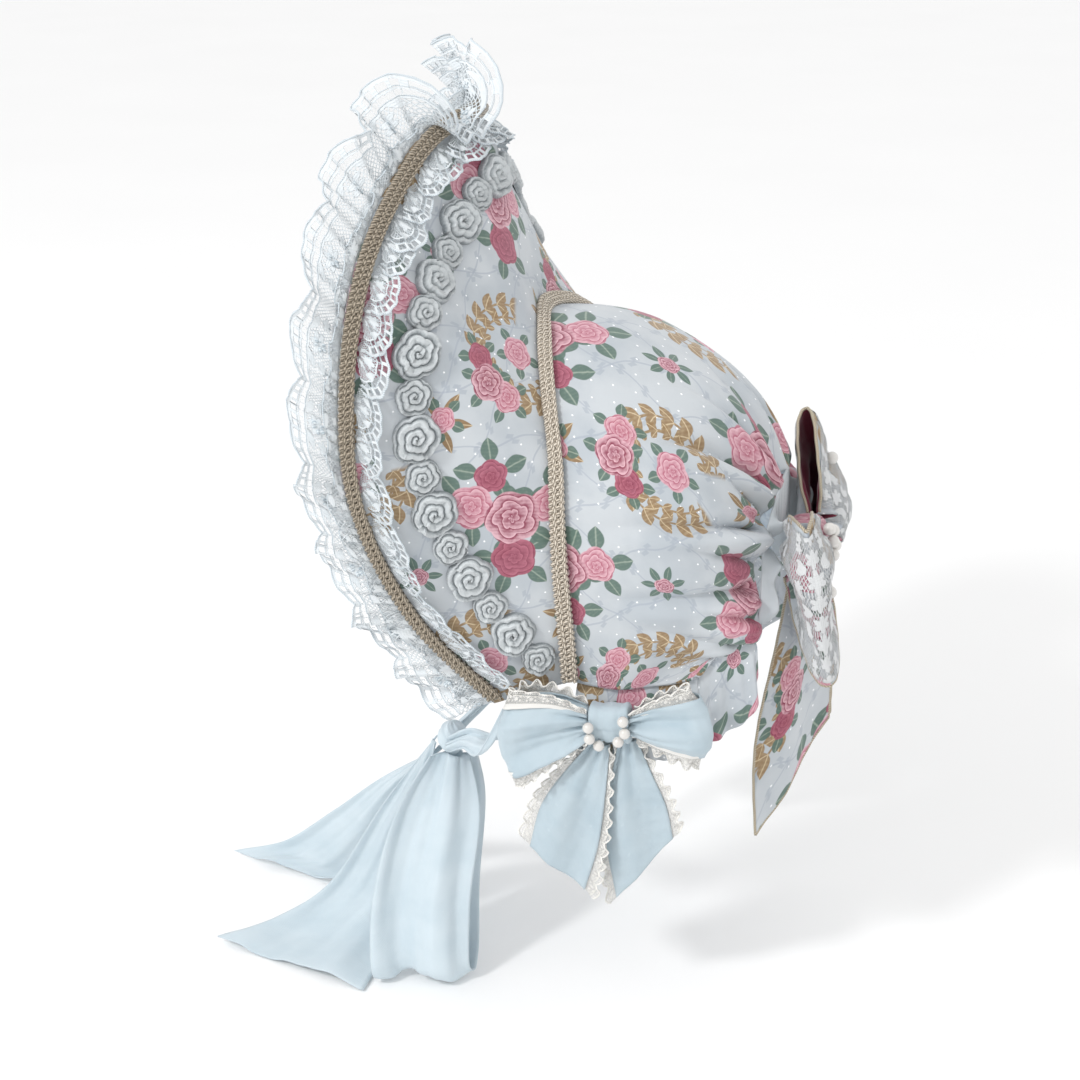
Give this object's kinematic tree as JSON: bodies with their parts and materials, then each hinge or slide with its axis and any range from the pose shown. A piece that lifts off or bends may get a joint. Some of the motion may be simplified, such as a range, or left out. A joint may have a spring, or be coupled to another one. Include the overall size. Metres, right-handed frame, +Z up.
{
  "type": "ruffled costume bonnet",
  "caption": "Costume bonnet with a tall standing brim, gathered crown, ruffled lace edge, braid and rose trims, side and back bows, and a hanging chin ribbon.",
  "frame": {"origin": "seat at the top inside the crown, where the hat rests on its wearer", "axes": "+Z up, +X to the wearer's left, -Y to the wearer's front"},
  "size_m": [0.2848, 0.3785, 0.5111],
  "materials": {
    "print_cloth": "pale grey-blue woven cotton with a printed floral pattern, matt",
    "blue_lace": "pale blue-white embroidered net lace, matt",
    "cream_lace": "cream scalloped net lace, matt",
    "gold_braid": "knotted metallic beige-gold braid, soft sheen",
    "rose_trim": "grey-blue embroidered rose trim with raised petal outlines",
    "chiffon": "light blue chiffon, soft and slightly sheer",
    "pearl": "ivory imitation pearl, satin gloss"
  },
  "bodies": {
    "root": {"back_frill": "chiffon", "back_knot": "print_cloth", "back_left_loop": "print_cloth", "back_left_loop_pearl": "pearl", "back_left_tail": "print_cloth", "back_pearl_1": "pearl", "back_pearl_2": "pearl", "back_pearl_3": "pearl", "back_pearl_4": "pearl", "back_pearl_5": "pearl", "back_right_loop": "print_cloth", "back_right_loop_pearl": "pearl", "back_right_tail": "print_cloth", "brim": "print_cloth", "chin_far_tail": "chiffon", "chin_knot": "chiffon", "chin_left_strap": "chiffon", "chin_loop": "chiffon", "chin_near_tail": "chiffon", "chin_right_strap": "chiffon", "crown": "print_cloth", "edge_braid": "gold_braid", "inner_lace": "blue_lace", "left_ear_back_loop": "chiffon", "left_ear_back_loop_lace": "cream_lace", "left_ear_back_tail": "chiffon", "left_ear_back_tail_lace": "cream_lace", "left_ear_front_loop": "chiffon", "left_ear_front_loop_lace": "cream_lace", "left_ear_front_tail": "chiffon", "left_ear_front_tail_lace": "cream_lace", "left_ear_knot": "chiffon", "left_ear_pearl_1": "pearl", "left_ear_pearl_2": "pearl", "left_ear_pearl_3": "pearl", "left_ear_pearl_4": "pearl", "left_ear_pearl_5": "pearl", "left_ear_pearl_6": "pearl", "left_nape_frill": "print_cloth", "outer_lace": "blue_lace", "right_ear_back_loop": "chiffon", "right_ear_back_loop_lace": "cream_lace", "right_ear_back_tail": "chiffon", "right_ear_back_tail_lace": "cream_lace", "right_ear_front_loop": "chiffon", "right_ear_front_loop_lace": "cream_lace", "right_ear_front_tail": "chiffon", "right_ear_front_tail_lace": "cream_lace", "right_ear_knot": "chiffon", "right_ear_pearl_1": "pearl", "right_ear_pearl_2": "pearl", "right_ear_pearl_3": "pearl", "right_ear_pearl_4": "pearl", "right_ear_pearl_5": "pearl", "right_ear_pearl_6": "pearl", "right_nape_frill": "print_cloth", "rose_trim": "rose_trim", "seam_braid": "gold_braid"}
  },
  "joints": []
}
